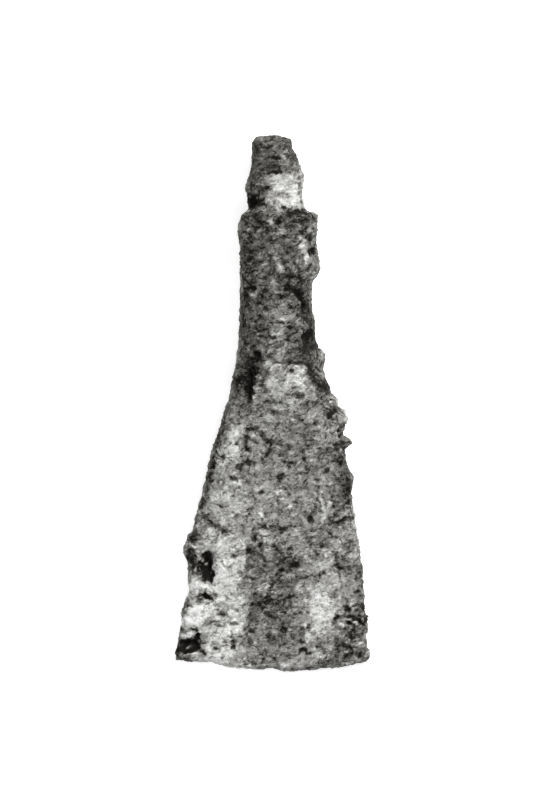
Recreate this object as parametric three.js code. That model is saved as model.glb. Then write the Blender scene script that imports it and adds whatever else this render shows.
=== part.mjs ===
// An ancient iron wedge, forged from one bar and thickly corroded. A broad thin blade rises through a sloping
// shoulder into a rounded square shank. The crust has broken off the top of the shank, so a narrower stump
// stands out of a ragged ledge. The wedge lies on its back.
// Millimetres, +Z up. The length runs along Y, from the cutting edge at -Y to the broken tip at +Y, and the
// front of the wedge faces +Z. The origin is the middle of the underside of its bounding box.
import * as THREE from 'three';
import { ImprovedNoise } from 'three/addons/math/ImprovedNoise.js';

// Lengths, from the middle of the cutting edge upwards
const overallLength = 130;
const stumpLength = 18.8; // from the ledge to the broken tip
const ledgeRun = 1.2; // the length over which the crust steps down to the stump
const edgeBow = 2.4; // how far the middle of the cutting edge stands out past its corners
const bowRun = 30; // the length over which that bow dies out
const flakedFrom = 0.8; // the flaked left corner is level from this share of the half width outwards
const tipRounding = 2.2; // the length over which the broken tip rounds off
const tipFace = 0.35; // how much of the full section is left at the very tip
const edgeRounding = 1.3; // the same for the blunt cutting edge
const edgeFace = 0.45;

// Widths across the front
const edgeWidth = 47.2;
const midBladeWidth = 39.0;
const bladeRootWidth = 32.4;
const shoulderWidth = 27.6;
const shankFootWidth = 18.8;
const neckWidth = 17.0;
const headWidth = 18.9;
const stumpFootWidth = 13.5;
const stumpWidth = 12.9;
const stumpTopWidth = 10.5;
const tipWidth = 9.0;

// Depths from the back to the front
const edgeDepth = 3.0;
const midBladeDepth = 6.6;
const bladeRootDepth = 10.0;
const shoulderDepth = 11.8;
const neckDepth = 14.2;
const headDepth = 15.6;
const stumpDepth = 10.6;
const stumpTopDepth = 9.5;
const tipDepth = 8.9;
const edgeLift = 0.5; // how far the thin edge clears what the wedge lies on

// The crust
const crustRelief = 0.42; // height of its broad swells
const crustGrain = 0.2; // and of the smaller lumps on them
const swellLength = 5.2;
const grainLength = 2.4;
const grainShift = 31; // keeps the lumps out of step with the swells
const bedding = 0.22; // how much of the back's crust is worn flat where the wedge lies

// The mesh
const rowPitch = 1.75;
const ledgePitch = 0.5;
const pointsAround = 54; // an even number
const fineSteps = 240; // points along half a section, from which the even ones are picked

// The cross-sections from the cutting edge to the tip. A section above the ledge is placed by its share of the
// stump, and the others by their share of the body under it. A positive lean moves the section to the right, in
// shares of its width. The power sets how square the section is: 2 is an ellipse, and 5 is nearly a rectangle.
const bodyLength = overallLength - stumpLength;
const onBody = (share) => share * bodyLength;
const onStump = (share) => bodyLength + share * stumpLength;
const stumpLift = (headDepth - stumpDepth) / 2;
const sections = [
  { at: 0, width: edgeWidth, lean: 0, depth: edgeDepth, lift: edgeLift, power: 4 },
  { at: onBody(0.315), width: midBladeWidth, lean: 0.02, depth: midBladeDepth, lift: 0, power: 4.4 },
  { at: onBody(0.472), width: bladeRootWidth, lean: 0.045, depth: bladeRootDepth, lift: 0, power: 3.8 },
  { at: onBody(0.56), width: shoulderWidth, lean: 0.072, depth: shoulderDepth, lift: 0, power: 3.2 },
  { at: onBody(0.708), width: shankFootWidth, lean: 0.068, depth: neckDepth, lift: 0, power: 2.9 },
  { at: onBody(0.812), width: neckWidth, lean: 0.048, depth: neckDepth, lift: 0, power: 3.0 },
  { at: onBody(0.96), width: headWidth, lean: 0.065, depth: headDepth, lift: 0, power: 3.2 },
  { at: bodyLength - ledgeRun / 2, width: headWidth, lean: 0.075, depth: headDepth, lift: 0, power: 3.2 },
  { at: bodyLength + ledgeRun / 2, width: stumpFootWidth, lean: 0.06, depth: stumpDepth, lift: stumpLift, power: 3 },
  { at: onStump(0.42), width: stumpWidth, lean: 0.068, depth: stumpDepth, lift: stumpLift, power: 2.8 },
  { at: onStump(0.76), width: stumpTopWidth, lean: 0.04, depth: stumpTopDepth, lift: stumpLift, power: 2.6 },
  { at: overallLength, width: tipWidth, lean: -0.03, depth: tipDepth, lift: stumpLift, power: 2.6 },
];

// Blisters, lumps and hollows that break the even surface, on the face that each one faces. Along is the share of
// the whole length from the cutting edge, and across the share of the half width there, from the centre line.
// Wide and long are in millimetres, and turn is in degrees. A negative rise is a hollow. Flat shapes have a level
// floor or top with steeper sides.
const levelShare = 0.5; // how far out the level part of a flat shape reaches
const turnedAway = 0.1; // a mark fades out where the surface turns away from the face it is on
const turnedTowards = 0.7;
const front = new THREE.Vector3(0, 0, 1);
const back = new THREE.Vector3(0, 0, -1);
const left = new THREE.Vector3(-1, 0, 0);
const right = new THREE.Vector3(1, 0, 0);
const marks = [
  { what: 'shoulder swelling', faces: front, along: 0.537, across: 0.33, wide: 15, long: 21, rise: 1.2 },
  { what: 'shank swelling', faces: front, along: 0.658, across: 0.28, wide: 12, long: 15, rise: 0.8 },
  { what: 'left shoulder crease', faces: front, along: 0.56, across: -0.72, wide: 6, long: 19, turn: -12, rise: -1.2 },
  { what: 'right shoulder crease', faces: front, along: 0.605, across: 0.86, wide: 6, long: 10, turn: 20, rise: -1.0 },
  { what: 'crust band on the blade', faces: front, along: 0.13, across: 0.06, wide: 17, long: 40, rise: 0.55, flat: true },
  { what: 'worn hollow on the blade', faces: front, along: 0.12, across: 0.6, wide: 11, long: 22, rise: -0.35 },
  { what: 'deep pit', faces: front, along: 0.194, across: -0.8, wide: 6.5, long: 10.5, rise: -1.8 },
  { what: 'shallow pit', faces: front, along: 0.138, across: -0.77, wide: 6, long: 4.6, rise: -0.9 },
  { what: 'flaked left corner', faces: front, along: 0.052, across: -0.86, wide: 9.5, long: 8.0, rise: -1.0, flat: true },
  { what: 'hollow right corner', faces: front, along: 0.088, across: 0.84, wide: 8, long: 10, turn: 30, rise: -0.7 },
  { what: 'clean scar on the stump', faces: front, along: 0.895, across: 0.4, wide: 9.5, long: 11, rise: -0.5, flat: true },
  { what: 'hollow under the stump', faces: front, along: 0.874, across: -0.8, wide: 4.6, long: 5, rise: -1.3 },
  { what: 'left lip of the ledge', faces: front, along: 0.842, across: -0.6, wide: 7, long: 6, rise: 0.5 },
  { what: 'seam of crust on the shank', faces: front, along: 0.775, across: 0.72, wide: 4, long: 14, turn: 8, rise: 0.6 },
  { what: 'left blister', faces: left, along: 0.228, wide: 7, long: 9.4, rise: 2.2 },
  { what: 'hollow below it', faces: left, along: 0.15, wide: 7, long: 9, rise: -1.1 },
  { what: 'lump below that', faces: left, along: 0.114, wide: 6, long: 3.6, rise: 0.5 },
  { what: 'hollow of the shoulder', faces: left, along: 0.52, wide: 12, long: 11, rise: -0.6 },
  { what: 'notch under the stump', faces: left, along: 0.866, wide: 8, long: 3, rise: -0.4 },
  { what: 'worn corner of the ledge', faces: left, along: 0.848, wide: 14, long: 3.4, rise: -0.7 },
  { what: 'hollow of the neck', faces: left, along: 0.79, wide: 14, long: 11, rise: -0.8 },
  { what: 'swelling of the stump', faces: left, along: 0.902, wide: 8, long: 4, rise: 0.4 },
  { what: 'blister on the shank', faces: right, along: 0.758, wide: 12, long: 11, rise: 1.3 },
  { what: 'knob at the shoulder', faces: right, along: 0.586, wide: 5.5, long: 3.8, rise: 1.8, flat: true },
  { what: 'crumbs on the shoulder', faces: right, along: 0.48, wide: 6, long: 5.6, rise: 1.8 },
  { what: 'crumbs under them', faces: right, along: 0.454, wide: 5, long: 4.4, rise: 1.4 },
  { what: 'thorn', faces: right, along: 0.428, wide: 4, long: 3.4, rise: 1.8 },
  { what: 'lump on the blade', faces: right, along: 0.359, wide: 5, long: 6.8, rise: 1.4 },
  { what: 'swollen side by the corner', faces: right, along: 0.09, wide: 6, long: 11, rise: 0.6 },
  { what: 'hollow of the back', faces: back, along: 0.34, across: -0.2, wide: 18, long: 24, rise: -0.5 },
  { what: 'flake off the back', faces: back, along: 0.16, across: 0.55, wide: 11, long: 14, rise: -0.8, flat: true },
  { what: 'pit in the back', faces: back, along: 0.62, across: 0.5, wide: 6, long: 9, rise: -0.9 },
];

// A smooth curve through one value of every section, which never swings past the values on either side.
function curveThrough(key) {
  const slopes = sections.slice(1).map((s, i) => (s[key] - sections[i][key]) / (s.at - sections[i].at));
  const tangents = sections.map((_, i) => {
    if (i === 0) return slopes[0];
    if (i === slopes.length) return slopes[i - 1];
    const before = slopes[i - 1];
    const after = slopes[i];
    return before * after <= 0 ? 0 : (2 * before * after) / (before + after);
  });
  return (at) => {
    let i = sections.findIndex((s) => s.at > at) - 1;
    if (i < 0) i = sections.length - 2;
    const span = sections[i + 1].at - sections[i].at;
    const t = THREE.MathUtils.clamp((at - sections[i].at) / span, 0, 1);
    const away = t * t * (3 - 2 * t);
    return (
      sections[i][key] * (1 - away) +
      sections[i + 1][key] * away +
      span * t * (1 - t) * (tangents[i] * (1 - t) - tangents[i + 1] * t)
    );
  };
}
const widthAt = curveThrough('width');
const leanAt = curveThrough('lean');
const depthAt = curveThrough('depth');
const liftAt = curveThrough('lift');
const powerAt = curveThrough('power');

// Rows of points along the length, closer together over the ledge and where the two ends are rounded off.
function rowPlaces() {
  const places = [0];
  while (places[places.length - 1] < overallLength) {
    const at = places[places.length - 1];
    const fromLedge = Math.abs(at - bodyLength) - ledgeRun;
    const fromEnd = Math.min(at - edgeRounding, overallLength - tipRounding - at);
    const ease = THREE.MathUtils.smoothstep(Math.min(fromLedge, fromEnd), 0, rowPitch * 2);
    places.push(at + THREE.MathUtils.lerp(ledgePitch, rowPitch, ease));
  }
  places[places.length - 1] = overallLength;
  return places;
}

// How much of its full size a section has near a rounded end: a quarter circle from the least share up to 1.
function roundedOff(distance, radius, least) {
  const t = THREE.MathUtils.clamp(distance / radius, 0, 1);
  return least + (1 - least) * Math.sqrt(1 - (1 - t) ** 2);
}

// One closed ring round the wedge: over the front from right to left, then back under it, evenly spaced.
// Point i of the front and point pointsAround - i of the back stand over each other.
function ring(at) {
  const tipShare = roundedOff(overallLength - at, tipRounding, tipFace);
  const edgeShare = roundedOff(at, edgeRounding, edgeFace);
  const halfWidth = (widthAt(at) / 2) * tipShare;
  const halfDepth = (depthAt(at) / 2) * tipShare * edgeShare;
  const middle = new THREE.Vector2(leanAt(at) * widthAt(at), liftAt(at) + depthAt(at) / 2);
  const exponent = 2 / powerAt(at);
  const fine = Array.from({ length: fineSteps + 1 }, (_, i) => {
    const angle = (Math.PI * i) / fineSteps;
    const c = Math.cos(angle);
    return new THREE.Vector2(
      Math.sign(c) * Math.abs(c) ** exponent * halfWidth,
      Math.sin(angle) ** exponent * halfDepth,
    );
  });
  const run = [0];
  for (let i = 1; i < fine.length; i++) run.push(run[i - 1] + fine[i].distanceTo(fine[i - 1]));
  const half = pointsAround / 2;
  const upper = [];
  for (let i = 0, k = 0; i <= half; i++) {
    const wanted = (run[fineSteps] * i) / half;
    while (k < fineSteps - 1 && run[k + 1] < wanted) k++;
    upper.push(fine[k].clone().lerp(fine[k + 1], (wanted - run[k]) / (run[k + 1] - run[k])));
  }
  const loop = [...upper, ...upper.slice(1, half).reverse().map((p) => new THREE.Vector2(p.x, -p.y))];
  const bowShare = Math.max(0, 1 - at / bowRun) ** 2;
  return loop.map((p) => {
    const side = p.x / halfWidth;
    const setBack = side < 0 ? THREE.MathUtils.smoothstep(-side, 0, flakedFrom) : side ** 2;
    const bow = edgeBow * bowShare * setBack;
    return new THREE.Vector3(middle.x + p.x, at + bow, middle.y + p.y);
  });
}

// The even wedge before corrosion: the rings, joined row to row, with each end closed from front to back.
function evenWedge() {
  const rings = rowPlaces().map(ring);
  const index = [];
  const number = (row, point) => row * pointsAround + (point % pointsAround);
  for (let row = 0; row + 1 < rings.length; row++) {
    for (let i = 0; i < pointsAround; i++) {
      const corners = [number(row, i), number(row, i + 1), number(row + 1, i), number(row + 1, i + 1)];
      index.push(corners[0], corners[2], corners[1], corners[1], corners[2], corners[3]);
    }
  }
  const last = rings.length - 1;
  for (let i = 0; i < pointsAround / 2; i++) {
    const under = pointsAround - i;
    closeEnd(number(0, i), number(0, i + 1), number(0, under - 1), number(0, under));
    closeEnd(number(last, i + 1), number(last, i), number(last, under), number(last, under - 1));
  }
  function closeEnd(a, b, c, d) {
    if (a !== d) index.push(a, b, d);
    if (b !== c) index.push(b, c, d);
  }
  const positions = rings.flat().flatMap((p) => p.toArray());
  const geometry = new THREE.BufferGeometry();
  geometry.setAttribute('position', new THREE.Float32BufferAttribute(positions, 3));
  geometry.setIndex(index);
  geometry.computeVertexNormals();
  return geometry;
}

// The crust's own unevenness at a point: broad swells with smaller lumps on them.
const noise = new ImprovedNoise();
function crust(p) {
  const swell = noise.noise(p.x / swellLength, p.y / swellLength, p.z / swellLength);
  const grain = noise.noise(p.x / grainLength + grainShift, p.y / grainLength, p.z / grainLength);
  return crustRelief * swell + crustGrain * grain;
}

// How far one mark lifts the surface at a point whose outward direction is given.
function markRise(mark, p, outward) {
  const centreAlong = mark.along * overallLength;
  const halfWidth = widthAt(centreAlong) / 2;
  const sideways = mark.faces === left || mark.faces === right;
  const crossed = sideways
    ? p.z - liftAt(centreAlong) - depthAt(centreAlong) / 2
    : p.x - leanAt(centreAlong) * halfWidth * 2 - mark.across * halfWidth;
  const turn = THREE.MathUtils.degToRad(mark.turn ?? 0);
  const offset = new THREE.Vector2(crossed, p.y - centreAlong).rotateAround(new THREE.Vector2(), -turn);
  const reach = Math.hypot(offset.x / (mark.wide / 2), offset.y / (mark.long / 2));
  if (reach >= 1) return 0;
  const shape = 1 - THREE.MathUtils.smoothstep(reach, mark.flat ? levelShare : 0, 1);
  const facing = THREE.MathUtils.smoothstep(outward.dot(mark.faces), turnedAway, turnedTowards);
  return mark.rise * shape * facing;
}

// The corroded wedge: every point moves outwards by the crust and the marks there. The crust is thinner on the
// thin edge, and what would reach below the surface that the wedge lies on is worn flat.
function corrodedWedge() {
  const geometry = evenWedge();
  const position = geometry.getAttribute('position');
  const normal = geometry.getAttribute('normal');
  const p = new THREE.Vector3();
  const outward = new THREE.Vector3();
  for (let i = 0; i < position.count; i++) {
    p.fromBufferAttribute(position, i);
    outward.fromBufferAttribute(normal, i);
    const thickness = Math.min(1, depthAt(THREE.MathUtils.clamp(p.y, 0, overallLength)) / midBladeDepth);
    const marked = marks.reduce((sum, mark) => sum + markRise(mark, p, outward), 0);
    p.addScaledVector(outward, crust(p) * thickness + marked);
    position.setXYZ(i, p.x, p.y, Math.max(p.z - bedding, 0));
  }
  geometry.computeBoundingBox();
  const box = geometry.boundingBox;
  geometry.translate(-(box.min.x + box.max.x) / 2, -(box.min.y + box.max.y) / 2, -box.min.z);
  geometry.computeVertexNormals();
  return geometry;
}

const iron = new THREE.MeshStandardMaterial({ color: 0x74736f, roughness: 0.85, metalness: 0.25 });
const wedge = new THREE.Mesh(corrodedWedge(), iron);
wedge.name = 'iron_wedge';

const part = new THREE.Group();
part.add(wedge);
export default part;
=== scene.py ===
import math

import bmesh
import bpy
import numpy as np
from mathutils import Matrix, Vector, noise


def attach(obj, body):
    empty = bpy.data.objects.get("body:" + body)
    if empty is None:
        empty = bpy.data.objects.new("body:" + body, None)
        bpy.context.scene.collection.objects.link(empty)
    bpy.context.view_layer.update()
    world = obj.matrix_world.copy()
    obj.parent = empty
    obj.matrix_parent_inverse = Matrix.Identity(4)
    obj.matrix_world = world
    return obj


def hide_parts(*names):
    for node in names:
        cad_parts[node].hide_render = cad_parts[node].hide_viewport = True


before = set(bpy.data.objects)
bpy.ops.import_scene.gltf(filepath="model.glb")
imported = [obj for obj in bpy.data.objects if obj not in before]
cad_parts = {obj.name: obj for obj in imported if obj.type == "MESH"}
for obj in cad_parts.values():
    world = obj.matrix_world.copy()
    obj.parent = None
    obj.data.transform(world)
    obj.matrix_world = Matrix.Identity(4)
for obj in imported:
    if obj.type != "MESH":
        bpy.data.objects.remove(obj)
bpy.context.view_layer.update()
scene = bpy.context.scene
mm = 0.001

# The photograph looks straight down on the wedge, and pixels of it are placed in the frame by these values
photo = {
    "size": (542, 800),
    "wedgeCentre": (272.25, 403.4),  # the pixel over the frame's origin
    "pixel": 0.2432,  # millimetres of the wedge that one pixel covers
    "height": 5.0,  # millimetres above the floor, where that scale is true
    "distance": 2.4,  # metres from there to the camera
    "sensor": 36,
    "farClip": 20,
}


def spot(pixel):
    across = (pixel[0] - photo["wedgeCentre"][0]) * photo["pixel"]
    along = (photo["wedgeCentre"][1] - pixel[1]) * photo["pixel"]
    return across, along


# Camera
def lookDown():
    lens = bpy.data.cameras.new("photoCamera")
    lens.sensor_width = photo["sensor"]
    lens.lens = lens.sensor_width * photo["distance"] / (photo["size"][1] * photo["pixel"] * mm)
    lens.clip_end = photo["farClip"]
    camera = bpy.data.objects.new("photoCamera", lens)
    across, along = spot((photo["size"][0] / 2, photo["size"][1] / 2))
    camera.location = (across * mm, along * mm, photo["height"] * mm + photo["distance"])
    scene.collection.objects.link(camera)
    scene.camera = camera


lookDown()
print("camera in place")


# Small helpers for node trees
def addNode(tree, kind, **settings):
    made = tree.nodes.new(kind)
    for name, value in settings.items():
        setattr(made, name, value)
    return made


def feed(tree, socket, value):
    if isinstance(value, bpy.types.NodeSocket):
        tree.links.new(value, socket)
    else:
        socket.default_value = value


def calc(tree, operation, *values):
    made = addNode(tree, "ShaderNodeMath", operation=operation)
    for socket, value in zip(made.inputs, values):
        feed(tree, socket, value)
    return made.outputs[0]


def calcVector(tree, operation, first, second):
    made = addNode(tree, "ShaderNodeVectorMath", operation=operation)
    feed(tree, made.inputs[0], first)
    feed(tree, made.inputs["Scale" if operation == "SCALE" else 1], second)
    return made.outputs[0]


def noiseAt(tree, place, size, detail=2.0, roughness=0.5, distortion=0.0):
    made = addNode(tree, "ShaderNodeTexNoise", noise_dimensions="3D")
    feed(tree, made.inputs["Vector"], place)
    feed(tree, made.inputs["Scale"], calc(tree, "DIVIDE", 1.0, size))
    feed(tree, made.inputs["Detail"], detail)
    feed(tree, made.inputs["Roughness"], roughness)
    feed(tree, made.inputs["Distortion"], distortion)
    return calc(tree, "SUBTRACT", made.outputs[0], 0.5)


def remap(tree, value, low, high, toLow=0.0, toHigh=1.0):
    made = addNode(tree, "ShaderNodeMapRange", interpolation_type="SMOOTHSTEP")
    for socket, part in zip(made.inputs, (value, low, high, toLow, toHigh)):
        feed(tree, socket, part)
    return made.outputs[0]


# The wedge's skin, and its own marks, read off the photograph. A pixel gives the middle of a mark, sizes and
# rises are in millimetres, turn is in degrees against the clock, and tone lightens or darkens the iron,
# partly as its own colour and partly as painted shade and painted light, noted at those marks.
# Firm marks have steep sides, square ones straight sides, a ring is only a rim, a cut one keeps only its
# right half, streaks ripple, and calm ones smooth the crust over.
wedge = {
    "weld": 0.001,  # points of the solid nearer than this are one
    "skinStep": 0.28,  # the side of one face of the fine skin
    "smoothing": 9,  # rounds that take the facets out of the solid
    "grownBack": 0.22,  # what those rounds take off the sides
    "undersideShare": 0.2,  # the share of its faces that the hidden underside keeps
    "hiddenBelow": -0.3,  # a face whose normal rises less than this belongs to it
    "reliefFacing": (0.0, 0.5),  # the rise of the normal where relief begins, and where it is full
    "toneFacing": (-0.3, 0.1),  # the same for tone, which runs a little way down the sides
    "calm": 0.28,  # how quiet the crust is away from the marks
    "darkest": 1.06,  # the limits of what the tones of marks add up to
    "palest": 0.9,
    # two drifts make the outlines of marks wander, each with a size, a reach and a place in its noise
    "seed": 1,
    "slowDrift": 4.0,
    "slowWander": 1.0,
    "slowPlace": 11.0,
    "quickDrift": 1.1,
    "quickWander": 0.55,
    "quickPlace": 23.0,
    "driftDetail": 2,
    "fullWander": 12,  # a mark wanders in full if its width and length add up to this
    "crackWander": 0.3,  # the share of the slow drift that cracks follow
    "smallMark": 7.0,  # marks whose width and length add up to less than this are spread by the next value
    "smallSpread": 1.25,
    "streakPlace": 3.7,
    "streakGain": 2,
    "faint": 0.01,  # where a mark is fainter than this, its streaks are left out
}
wedge["marks"] = [
    # broad tones, from the broken top down to the edge
    {"pixel": (273, 156), "size": (18, 17), "tone": -0.55, "firm": 0.5, "calm": 0.6},
    {"pixel": (280, 161), "size": (7, 4), "tone": 0.35},
    {"pixel": (297, 163), "size": (3.4, 8), "turn": 14, "tone": -0.30},
    {"pixel": (276, 177), "size": (9, 5), "tone": 0.55},
    {"pixel": (265, 191), "size": (3.4, 3), "tone": -0.55},
    {"pixel": (255, 192), "size": (6.5, 15), "tone": -0.60},
    {"pixel": (250, 218), "size": (8, 5), "tone": -0.35},
    {"pixel": (303, 218), "size": (8.5, 4.4), "tone": -0.6},
    {"pixel": (281, 233), "size": (4, 3), "tone": 0.25},
    {"pixel": (304, 242), "size": (3.4, 8), "turn": -8, "tone": 0.45},
    {"pixel": (300, 246), "size": (4.5, 9), "tone": 0.35},
    # painted shade on the shank's left side, which turns away from the light
    {"pixel": (245, 246), "size": (6, 12), "tone": -0.4},
    {"pixel": (278, 250), "size": (20, 20), "tone": -0.46, "firm": 0.7, "square": 4, "calm": 0.32},
    {"pixel": (272, 283), "size": (7, 4), "tone": 0.3},
    {"pixel": (272, 287), "size": (14, 6), "tone": 0.3},
    # painted shade down the shank's left side
    {"pixel": (243, 305), "size": (4.5, 42), "tone": -0.12},
    {"pixel": (306, 308), "size": (3.5, 5), "tone": -0.15},
    {"pixel": (287, 308), "size": (6, 3), "tone": -0.2},
    {"pixel": (276, 320), "size": (22, 25), "tone": -0.54, "firm": 0.6, "square": 4},
    # painted shade down the shank's right side
    {"pixel": (309, 322), "size": (4, 20), "turn": 8, "tone": -0.3},
    {"pixel": (299, 322), "size": (5, 5), "tone": 0.4},
    {"pixel": (281, 335), "size": (4, 3), "tone": 0.4},
    {"pixel": (277, 341), "size": (9, 7), "tone": 0.60},
    {"pixel": (315, 347), "size": (3.4, 3.4), "tone": -1.0},
    {"pixel": (268, 347), "size": (4, 3.4), "tone": 0.4},
    {"pixel": (262, 349), "size": (6, 4), "tone": 0.3},
    # painted shade in the hollow beside the knob on the right shoulder
    {"pixel": (303, 351), "size": (6, 6), "tone": -0.9},
    {"pixel": (312, 361), "size": (8, 5.5), "tone": -0.75},
    {"pixel": (257, 368), "size": (5.5, 10), "tone": -0.5},
    {"pixel": (267, 375), "size": (3, 3), "tone": -0.5},
    # painted shade on the left flank of the shoulder, which slopes away to the edge
    {"pixel": (242, 380), "size": (7.0, 19), "turn": -14, "tone": -0.75},
    # painted shade on the right flank of the mound
    {"pixel": (318, 382), "size": (5, 12), "turn": 27, "tone": -0.95},
    # painted light on the crown of the mound, which also rises a little
    {"pixel": (285, 386), "size": (15, 14), "tone": 0.16, "firm": 0.5, "rise": 0.15},
    {"pixel": (326, 388), "size": (3.4, 7), "turn": 25, "tone": -0.7},
    {"pixel": (277, 392), "size": (7, 6), "tone": 0.25},
    {"pixel": (319, 400), "size": (4, 4), "tone": -0.45},
    {"pixel": (227, 410), "size": (4, 4), "tone": -0.4},
    {"pixel": (226, 427), "size": (4.4, 14), "turn": -16, "tone": -0.25},
    {"pixel": (295, 440), "size": (20, 16), "tone": -0.3, "calm": 0.4},
    {"pixel": (258, 441), "size": (7.5, 7.5), "tone": 0.1, "firm": 0.4, "calm": 0.7},
    {"pixel": (237, 441), "size": (2.4, 6), "turn": -14, "tone": 0.2},
    {"pixel": (228, 441), "size": (3.4, 4), "tone": -0.4},
    {"pixel": (232, 444), "size": (7, 19), "turn": -16, "tone": 0.42, "firm": 0.3},
    {"pixel": (214, 452), "size": (3, 8), "turn": -16, "tone": 0.3},
    {"pixel": (342, 466), "size": (8.5, 26), "tone": -0.52},
    {"pixel": (317, 466), "size": (11, 12), "tone": -0.28},
    {"pixel": (275, 492), "size": (12, 9), "tone": 0.2},
    {"pixel": (347, 492), "size": (4, 9.5), "tone": -0.70},
    {"pixel": (338, 500), "size": (6, 7), "tone": -0.3},
    {"pixel": (228, 503), "size": (12.5, 17), "turn": -8, "tone": 0.36, "firm": 0.4},
    {"pixel": (213, 530), "size": (7, 3), "tone": 0.35},
    {"pixel": (222, 541), "size": (13, 6), "tone": 0.55},
    {"pixel": (206, 541), "size": (4, 6), "tone": 0.25},
    {"pixel": (268, 542), "size": (5, 5), "tone": 0.35},
    {"pixel": (241, 548), "size": (5, 14), "tone": 0.3},
    {"pixel": (241, 550), "size": (3, 6), "tone": 0.35},
    {"pixel": (266, 555), "size": (4, 3), "tone": 0.4},
    {"pixel": (291, 560), "size": (8, 9), "tone": -0.25},
    {"pixel": (244, 562), "size": (28, 15), "cut": 0.35, "tone": -0.45, "square": 3},
    {"pixel": (285, 562), "size": (9, 6.5), "tone": -0.35},
    {"pixel": (318, 568), "size": (6, 5), "tone": 0.3},
    {"pixel": (242, 571), "size": (3.4, 9), "tone": 0.5},
    {"pixel": (349, 572), "size": (8, 12), "tone": -0.35},
    {"pixel": (226, 572), "size": (9.6, 15), "tone": 0.50, "firm": 0.4, "square": 3, "calm": 0.4},
    {"pixel": (305, 576), "size": (6, 5), "tone": -0.25},
    {"pixel": (321, 580), "size": (8, 5), "tone": -0.2},
    {"pixel": (332, 582), "size": (13, 15), "tone": 0.25},
    {"pixel": (280, 583), "size": (15, 6), "tone": -0.5},
    {"pixel": (293, 583), "size": (4, 4), "tone": -0.35},
    {"pixel": (196, 588), "size": (7, 5), "tone": 0.35},
    {"pixel": (210, 590), "size": (6, 3), "tone": 0.5},
    {"pixel": (229, 596), "size": (5, 4), "tone": -0.35},
    {"pixel": (361, 600), "size": (5, 34), "tone": -0.35},
    {"pixel": (200, 600), "size": (10, 24), "tone": 0.3},
    {"pixel": (330, 604), "size": (5, 7), "tone": 0.25},
    {"pixel": (204, 608), "size": (7, 5), "tone": 0.35},
    {"pixel": (249, 609), "size": (30, 15), "cut": 0.12, "tone": -0.55, "square": 4},
    {"pixel": (336, 610), "size": (5, 6), "tone": 0.3},
    {"pixel": (321, 611), "size": (8.6, 15.5), "turn": 4, "tone": 0.42, "firm": 0.4, "calm": 0.45},
    {"pixel": (229, 614), "size": (11, 12.4), "tone": 0.42, "firm": 0.6, "square": 3, "calm": 0.4},
    {"pixel": (196, 616), "size": (8.5, 4.6), "turn": 42, "tone": 0.75, "firm": 0.4, "calm": 0.6},
    {"pixel": (187, 619), "size": (3, 3), "tone": 0.4},
    {"pixel": (282, 627), "size": (5, 6), "tone": -0.35},
    {"pixel": (312, 628), "size": (6, 5), "tone": 0.35},
    {"pixel": (203, 632), "size": (4, 3.4), "tone": 0.5},
    {"pixel": (225, 636), "size": (10, 5), "tone": 0.2},
    {"pixel": (281, 636), "size": (6, 5), "tone": -0.3},
    {"pixel": (241, 638), "size": (4, 7), "tone": 0.5},
    {"pixel": (284, 645), "size": (12, 9), "tone": -0.22},
    {"pixel": (264, 645), "size": (11, 10), "tone": -0.22},
    {"pixel": (346, 645), "size": (11, 10), "tone": -0.65},
    {"pixel": (331, 647), "size": (4, 4), "tone": 0.3},
    {"pixel": (242, 648), "size": (5, 5), "tone": 0.3},
    {"pixel": (221, 648), "size": (9.5, 9), "tone": 0.5, "firm": 0.5, "calm": 0.3},
    {"pixel": (201, 659.5), "size": (6, 2), "tone": 0.6},
    {"pixel": (333, 661), "size": (20, 3.2), "turn": 4, "tone": -0.5},
    # the broken stump
    {"pixel": (285, 191), "size": (8.8, 11), "turn": -8, "tone": 0.36, "firm": 0.5, "square": 3, "calm": 0.6},
    {"pixel": (295, 199), "size": (3.0, 7.2), "turn": 4, "tone": 0.24, "firm": 0.5, "square": 3, "calm": 0.7},
    {"pixel": (282, 189), "size": (3.2, 0.9), "turn": 20, "tone": 0.45},
    {"pixel": (280, 195), "size": (3.6, 1.3), "turn": 5, "tone": -0.55, "firm": 0.3},
    {"pixel": (282, 205), "size": (3.8, 1.7), "turn": -32, "tone": 0.25},
    {"pixel": (265, 210), "size": (6.4, 6), "tone": -0.5},
    {"pixel": (267, 188), "size": (1.9, 1.1), "turn": -20, "tone": -0.5},
    {"pixel": (257, 185), "size": (1.3, 0.9), "tone": 0.6},
    {"pixel": (300.5, 203), "size": (0.9, 1.7), "tone": -0.6},
    {"pixel": (261.5, 145.3), "size": (1.1, 1.1), "rise": -0.3, "tone": -0.9},
    {"pixel": (265.8, 143), "size": (0.8, 0.8), "tone": -0.6},
    {"pixel": (262, 140.5), "size": (0.9, 0.8), "tone": 0.5},
    {"pixel": (264, 150.5), "size": (0.8, 0.7), "tone": 0.5},
    {"pixel": (286.5, 152.5), "size": (1.5, 1.3), "tone": 0.6},
    # a pit on the stump, its dark partly painted shade; the next mark is a painted highlight on its lit lower
    # wall
    {"pixel": (276.3, 159.2), "size": (2.1, 0.9), "turn": -8, "rise": -0.6, "tone": -1.2, "firm": 0.4},
    {"pixel": (283.5, 157), "size": (2.1, 0.8), "turn": -50, "tone": 0.8},
    {"pixel": (274, 169), "size": (3.0, 1.7), "tone": -0.45, "firm": 0.7, "square": 3, "calm": 0.9,
     "rise": -0.2},
    # painted shading down the stump's right edge, where it turns away
    {"pixel": (297, 168), "size": (2.4, 6), "turn": 14, "tone": 0.10, "calm": 0.6},
    {"pixel": (266, 209), "size": (7, 3.2), "tone": 0.15},
    # a shallow hollow on the stump's left, darkened further with painted shade
    {"pixel": (251.5, 203), "size": (3.2, 5.6), "turn": 8, "rise": -0.6, "tone": -1.1, "firm": 0.3},
    # the upper half of the shank
    {"pixel": (260.5, 223), "size": (2.2, 1.6), "tone": -0.8, "firm": 0.2},
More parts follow.
